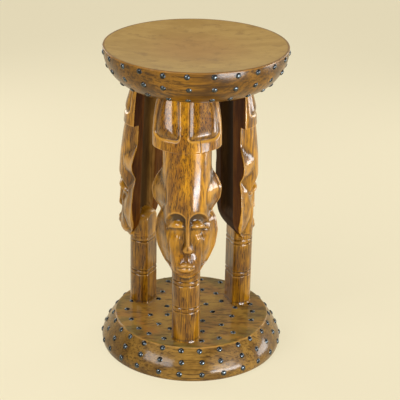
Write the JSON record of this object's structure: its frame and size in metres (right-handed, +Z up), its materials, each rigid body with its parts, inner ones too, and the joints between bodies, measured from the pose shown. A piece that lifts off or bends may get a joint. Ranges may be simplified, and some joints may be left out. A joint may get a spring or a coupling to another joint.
{
  "type": "wooden stool",
  "caption": "Round carved wooden stool: a dished seat on three figure-headed pillars over a flared round base, trimmed with tacks.",
  "frame": {"origin": "middle of the base's underside", "axes": "+Z up, -Y towards the front figure, +X to the right of somebody who looks at the front figure"},
  "size_m": [0.3022, 0.3004, 0.515],
  "materials": {
    "base_wood": "glossy varnish over a worn golden stain",
    "seat_wood": "satin top, glossy varnished side",
    "pillar_wood": "glossy varnish over a golden stain, darkened in the hollows",
    "peg_wood": "bare turned hardwood",
    "tack_steel": "dark blued steel"
  },
  "bodies": {
    "root": {"base": "base_wood", "seat": "seat_wood", "figure_pillar_front": "pillar_wood", "figure_pillar_right": "pillar_wood", "figure_pillar_left": "pillar_wood", "foot_peg_front": "peg_wood", "foot_peg_right": "peg_wood", "foot_peg_left": "peg_wood", "head_peg_front_1": "peg_wood", "head_peg_front_2": "peg_wood", "head_peg_right_1": "peg_wood", "head_peg_right_2": "peg_wood", "head_peg_left_1": "peg_wood", "head_peg_left_2": "peg_wood"}
  },
  "joints": []
}
